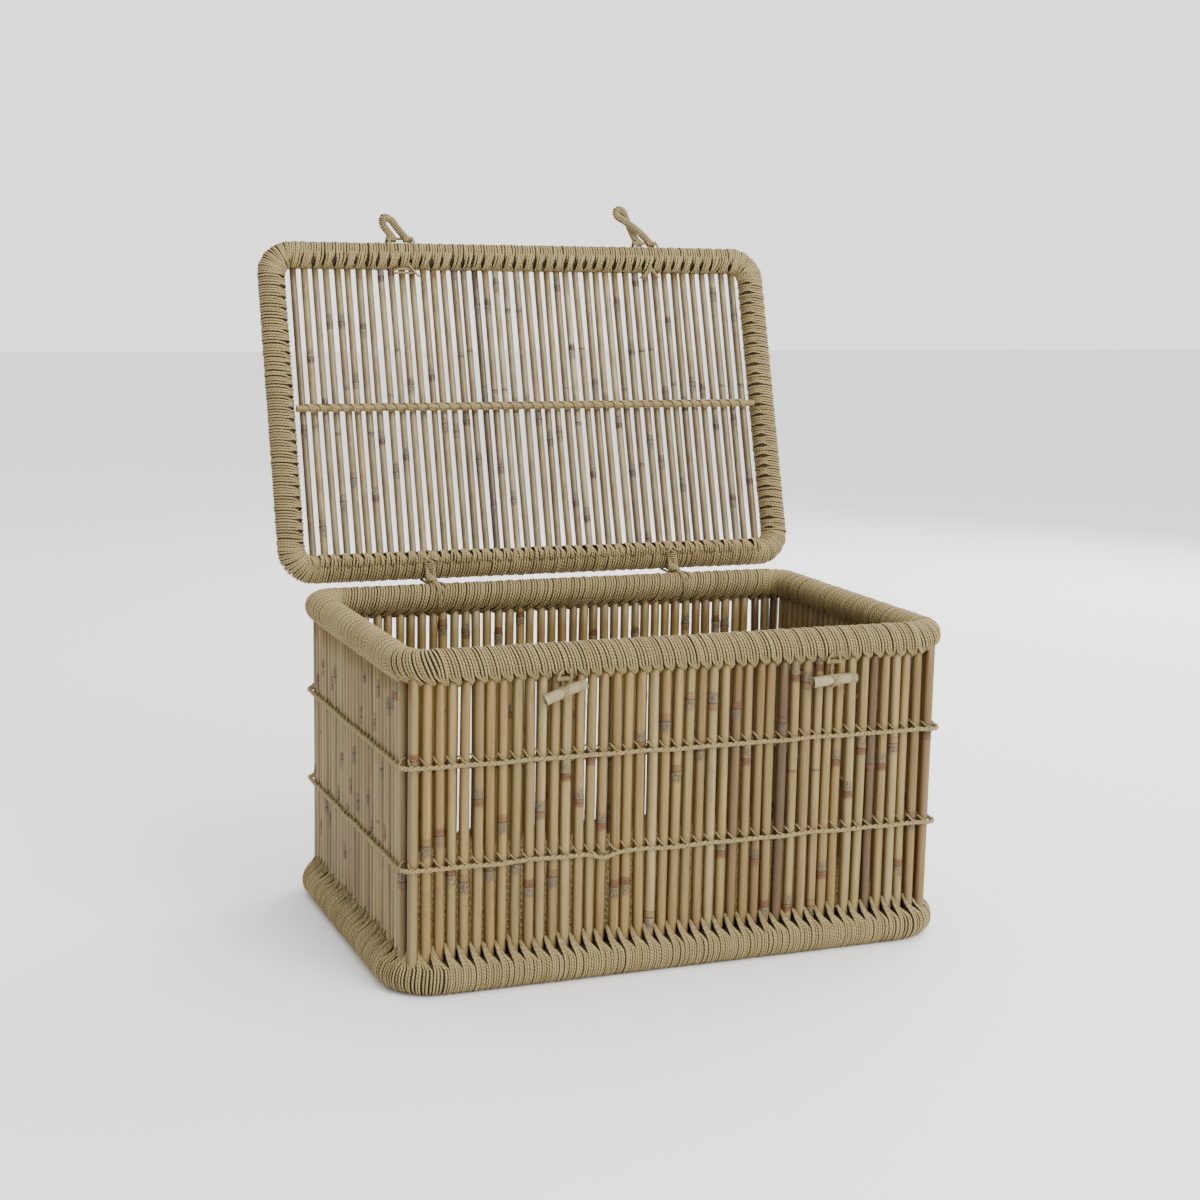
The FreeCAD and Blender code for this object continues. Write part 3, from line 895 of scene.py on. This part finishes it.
hinges = {
    "cord": 0.0011, "rimTurns": (-0.0011, 0.0011), "lidTurns": (-0.0051, -0.0030, 0.0030, 0.0051),
    "neck": ((0.2035, 0.3675), (0.2135, 0.3700), (0.2222, 0.3738), (0.2216, 0.3810), (0.2226, 0.3885)),
    "neckSize": 0.0046, "neckCord": 0.0012,
    # each strand of the knot: x, turn round the rail and rise
    "knot": (
        (
            (-0.0052, 82, 0.001), (-0.0035, 100, 0.0042), (0.0008, 112, 0.0048), (0.0052, 104, 0.004),
            (0.011, 101, 0.0022), (0.0125, 112, -0.001),
        ),
        (
            (-0.006, 118, 0), (-0.0045, 108, 0.004), (0.0002, 97, 0.0055), (0.0048, 92, 0.0038),
            (0.006, 80, 0.001),
        ),
        (
            (-0.0068, 100, 0), (-0.005, 96, 0.003), (-0.0022, 108, 0.005), (0.0008, 122, 0.003),
            (0.0014, 134, 0),
        ),
    ),
}


def makeHinges():
    axle = (hingePlace.y, hingePlace.z)
    rimCentre = (rimHigh.y - rimRadius, rim["height"])
    railCentre = (backRail.y, backRail.z)
    cord = hinges["cord"]
    for side in ("left", "right"):
        title = side.title()
        low, high = (Vector(c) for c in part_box("hinge_pin_" + side))
        x = (low.x + high.x) / 2
        path = [(low.x, hingePlace.y, hingePlace.z), (high.x, hingePlace.y, hingePlace.z)]
        pin = joined([strands([path], 0.0016), coiled(path, 0.0018, 0.0021, 0.0009)])
        finish("hingePin" + title, pin, "trunk", "cord", ["hinge_pin_" + side])
        lines = [belt(rimCentre, rimRadius + cord, axle, 0.0040, x + dx) for dx in hinges["rimTurns"]]
        twine = strands(lines, cord, 1, closed=True)
        finish("hingeRimCord" + title, twine, "trunk", "cord", ["hinge_rim_tie_" + side])
        lines = [belt(railCentre, lidRadius + cord, axle, 0.0040, x + dx) for dx in hinges["lidTurns"]]
        twine = strands(lines, cord, 1, closed=True)
        finish("hingeLidCord" + title, twine, "lid", "cord", ["hinge_lid_tie_" + side])
        # the wrapped neck between rim and rail; it is given no body
        path = curved([(x, y, z) for y, z in hinges["neck"]], 6)
        shape = {"steps": 12, "wide": (1, 0, 0), "flat": (1.0, 0.42)}
        neck = coiled(path, hinges["neckSize"], 0.0026, hinges["neckCord"], **shape)
        piece = finish("hingeNeck" + title, neck, None, "cord")
        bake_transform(piece)
        # loose ends: three strands over the rim, and a knot at the head of the neck
        lines = []
        for start, end, turns in ((-0.0030, -0.0010, 0.9), (0.0002, 0.0050, 1.0), (0.0034, 0.0120, 0.85)):
            line = []
            for k in range(10):
                a = math.radians(68 + 96 * turns * k / 9)
                r = rimRadius + 0.0008 - 0.0022 * max(0, k - 7) / 2
                along = x + start + (end - start) * smooth(k / 9)
                line.append((along, rimCentre[0] + r * math.cos(a), rimCentre[1] + r * math.sin(a)))
            lines.append(line)
        finish("hingeTail" + title, strands(lines, 0.0012), "trunk", "cord")
        lines = []
        for knot in hinges["knot"]:
            spots = [(x + dx, turn, rise) for dx, turn, rise in knot]
            lines.append(curved(railLine("hinge", spots)[0], 5))
        finish("hingeKnot" + title, strands(lines, 0.0013), "lid", "cord", (), lidPlace)


# ---- closure loops
loops = {
    "left": {"length": 0.038, "lean": 35.0, "root": 0.009, "waist": 0.0066, "twist": 35.0, "turn": 0.0},
    "right": {"length": 0.061, "lean": 38.0, "root": 0.008, "waist": 0.0052, "twist": 0.0, "turn": 180.0},
    "strand": 0.0049, "tip": 0.0054, "wrap": 0.0038, "cord": 0.0012,
}
knots = {
    "left": (
        (
            (-0.013, -0.001, 0), (-0.01, -0.0002, 0.0052), (0.002, 0.0004, 0.006),
            (0.011, -0.001, 0.005), (0.014, -0.002, 0.0005),
        ),
        (
            (-0.0125, -0.0045, 0), (-0.009, -0.0044, 0.0052), (0.004, -0.0048, 0.0062),
            (0.012, -0.004, 0.0045), (0.0138, -0.003, 0),
        ),
        (
            (-0.003, 0.01, -0.001), (0.001, 0.0072, 0.0048), (0.008, 0.0068, 0.0056),
            (0.0105, 0.003, 0.006), (0.002, 0.0045, 0.004),
        ),
        (
            (0.002, 0.008, 0.002), (0.006, 0.004, 0.0085), (0.012, -0.003, 0.0075),
            (0.019, -0.009, 0.004),
        ),
    ),
    "right": (
        (
            (-0.0125, -0.006, 0), (-0.008, -0.003, 0.0055), (-0.002, 0.004, 0.007),
            (0.002, 0.0062, 0.004),
        ),
        (
            (-0.01, -0.0075, 0), (-0.006, -0.0045, 0.0055), (0, 0.0022, 0.0085),
            (0.003, 0.005, 0.005),
        ),
        (
            (-0.002, 0.006, 0.003), (0.0025, 0.002, 0.0085), (0.0075, -0.004, 0.007),
            (0.011, -0.005, 0.001),
        ),
        (
            (0.001, 0.014, 0.001), (0.002, 0.007, 0.0055), (0.003, 0, 0.006),
            (0.009, -0.0045, 0.006), (0.014, -0.0042, 0),
        ),
    ),
}


def legStation(shape, pivot, share, sign):
    lean = math.radians(shape["lean"])
    along = Vector((-math.sin(lean), math.cos(lean), 0))
    flat = Vector((1, 0, 0)) * (1 - share) + Vector((math.cos(lean), math.sin(lean), 0)) * share
    angle = math.radians(shape["turn"] * share + shape["twist"] * math.sin(math.pi * share))
    across = flat * math.cos(angle) + Vector((0, 0, 1)) * math.sin(angle)
    ends = shape["root"] * (1 - share) + loops["tip"] * share
    half = ends + (shape["waist"] - ends) * math.sin(math.pi * share)
    run = (shape["length"] - loops["strand"] - loops["tip"]) * share
    return pivot + along * run + across * sign * half


def makeLoops():
    joints = {j["child"]: j for j in frame["joints"]}
    for side in ("left", "right"):
        shape = loops[side]
        pivot = lidPlace.inverted() @ Vector(joints["loop_" + side]["pos_m"])
        legs = [[legStation(shape, pivot, k / 5, sign) for k in range(6)] for sign in (-1, 1)]
        lean = math.radians(shape["lean"])
        tip = (legs[0][-1] + legs[1][-1]) / 2 + Vector((-math.sin(lean), math.cos(lean), 0)) * loops["tip"]
        path = curved(legs[0] + [tip] + legs[1][::-1], 6)
        pieces = [coiled(path, loops["wrap"], 0.0024, loops["cord"], steps=10), strands([path], 0.0034, 2)]
        for leg in legs:
            foot = leg[0]
            shaft = [foot - Vector((0.0042, 0, 0)), foot + Vector((0.0042, 0, 0))]
            pieces.append(coiled(shaft, 0.0037, 0.0022, 0.0012, steps=10))
        twine = joined(pieces)
        body = "loop_" + side
        finish("closureLoop" + side.title(), twine, body, "cord", [body], lidPlace)
        low, high = (Vector(c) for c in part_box("loop_anchor_" + side))
        reach = (high.x - low.x) / 2
        shaft = [pivot - Vector((reach, 0, 0)), pivot + Vector((reach, 0, 0))]
        pieces = [strands([shaft], 0.0018)]
        for sign in (-1, 1):
            for k in (0.0010, 0.0030):
                across = pivot.x + sign * (reach - k)
                ring = belt((lidReach, 0), lidRadius + 0.0004, (pivot.y, pivot.z), 0.0022, across)
                pieces.append(strands([ring], 0.0010, 1, closed=True))
        node = "loop_anchor_" + side
        finish("loopAnchor" + side.title(), joined(pieces), "lid", "cord", [node], lidPlace)
        low, high = (Vector(c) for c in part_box("loop_knot_" + side))
        spot = lidPlace.inverted() @ ((low + high) / 2)
        spot = spot - Vector((0.001, 0, 0.003))
        lines = [curved([spot + Vector(p) for p in knot], 6) for knot in knots[side]]
        twine = strands(lines, 0.0015)
        node = "loop_knot_" + side
        finish("loopKnot" + side.title(), twine, "lid", "cord", [node], lidPlace)


# ---- toggles
toggles = {
    "left": {"length": 0.048, "tilt": 18.5}, "right": {"length": 0.053, "tilt": 3.0},
    "radius": 0.0058, "tie": 0.0009, "tieReach": 0.0048, "tetherCord": 0.0011, "pinReach": 0.0055,
    "anchorReach": 0.0085, "anchorCords": (-0.0073, -0.0062, 0.0062, 0.0073),
}


def makeToggles():
    joints = {j["child"]: j for j in frame["joints"]}
    radius = toggles["radius"]
    for side in ("left", "right"):
        title = side.title()
        length = toggles[side]["length"]
        tilt = -math.radians(toggles[side]["tilt"])
        centre = Vector(joints["toggle_" + side]["pos_m"])
        stem = cane(Vector((0, 0, -length / 2)), Vector((0, 0, length / 2)), radius, [], 0.95, 20)
        flat = Matrix.Translation(centre) @ Matrix.Rotation(tilt, 4, "Y")
        turn = flat @ Matrix.Rotation(math.pi / 2, 4, "Y")
        stem.shade_smooth()
        node = "toggle_" + side
        toggle = finish("toggle" + title, stem, node, "toggle", [node], turn)
        toggle.data.materials.append(materials["pith"])
        for face in toggle.data.polygons:
            face.use_smooth = len(face.vertices) == 4
            face.material_index = 0 if len(face.vertices) == 4 else 1
        # crossed ties round the middle
        r = radius + toggles["tie"]
        lines = []
        for sign in (-1, 1):
            for k in (-1, 1):
                line = []
                for i in range(15):
                    a = -0.6 + (math.pi + 1.2) * i / 14
                    along = sign * (toggles["tieReach"] * math.cos(math.pi * i / 14)) + k * 0.0008
                    line.append((along, -r * math.sin(a), r * math.cos(a)))
                lines.append(line)
        finish("toggleTie" + title, strands(lines, toggles["tie"]), node, "cord", (), flat)
        # tether from the pin down behind the toggle
        pin = Vector(joints["tether_" + side]["pos_m"])
        spine = centre.y + radius + 0.001
        lines = []
        for dx in (-0.0012, 0.0012):
            lines.append(curved([
                (pin.x + dx * 1.6, pin.y, pin.z + 0.0022), (pin.x + dx * 1.4, pin.y + 0.0022, pin.z - 0.001),
                (pin.x - dx, spine, (pin.z + centre.z) / 2), (pin.x + dx, spine, centre.z - 0.001),
                (pin.x, centre.y + 0.003, centre.z),
            ], 5))
        reach = Vector((toggles["pinReach"], 0, 0))
        shaft = [pin - reach, pin + reach]
        tether = joined([strands(lines, toggles["tetherCord"]), coiled(shaft, 0.0021, 0.0018, 0.0009)])
        nodes = ["toggle_tether_" + side]
        finish("toggleTether" + title, tether, "tether_" + side, "cord", nodes)
        # the pin is held by four cords out of the rim
        reach = Vector((toggles["anchorReach"], 0, 0))
        pieces = [strands([[pin - reach, pin + reach]], 0.0014)]
        lines = []
        for dx in toggles["anchorCords"]:
            lines.append(curved([
                (pin.x + dx, pin.y - 0.0012, pin.z - 0.0018),
                (pin.x + dx * 1.05, pin.y - 0.0022, pin.z + 0.003),
                (pin.x + dx * 0.8, pin.y - 0.0045, pin.z + 0.008),
                (pin.x + dx * 0.5, pin.y - 0.0060, pin.z + 0.0125),
            ], 5))
        pieces.append(strands(lines, 0.0010))
        nodes = ["toggle_anchor_" + side]
        finish("toggleAnchor" + title, joined(pieces), "trunk", "cord", nodes)


def dressFrame():
    # the bearers, hoops and crossbar rod keep their own shape
    plain = {
        "floor_canes": "floor", "base_hoop": "floor", "rim_hoop": "floor", "lid_hoop": "floor",
        "lid_crossbar": "bar",
    }
    for node, material in plain.items():
        piece = frame["nodes"][node]
        piece.data.materials.clear()
        piece.data.materials.append(materials[material])


def makeFloorPlane():
    bm = bmesh.new()
    bmesh.ops.create_grid(bm, x_segments=1, y_segments=1, size=12)
    mesh = bpy.data.meshes.new("studioFloor")
    bm.to_mesh(mesh)
    bm.free()
    s = Shader("paleFloor", 0.9)
    s.surface.inputs["Base Color"].default_value = (0.93, 0.93, 0.93, 1)
    mesh.materials.append(s.material)
    plane = bpy.data.objects.new("studioFloor", mesh)
    bpy.context.scene.collection.objects.link(plane)


setCamera()
setLights()
makeFloorPlane()
makeWalls()
print("stage: walls made")
makeRolls()
print("stage: rolls made")
makeLidCanes()
makeCrossbar()
print("stage: lid made")
makeWefts()
makeFloor()
print("stage: wefts and floor made")
makeHinges()
makeLoops()
makeToggles()
dressFrame()
print("stage: fittings made")
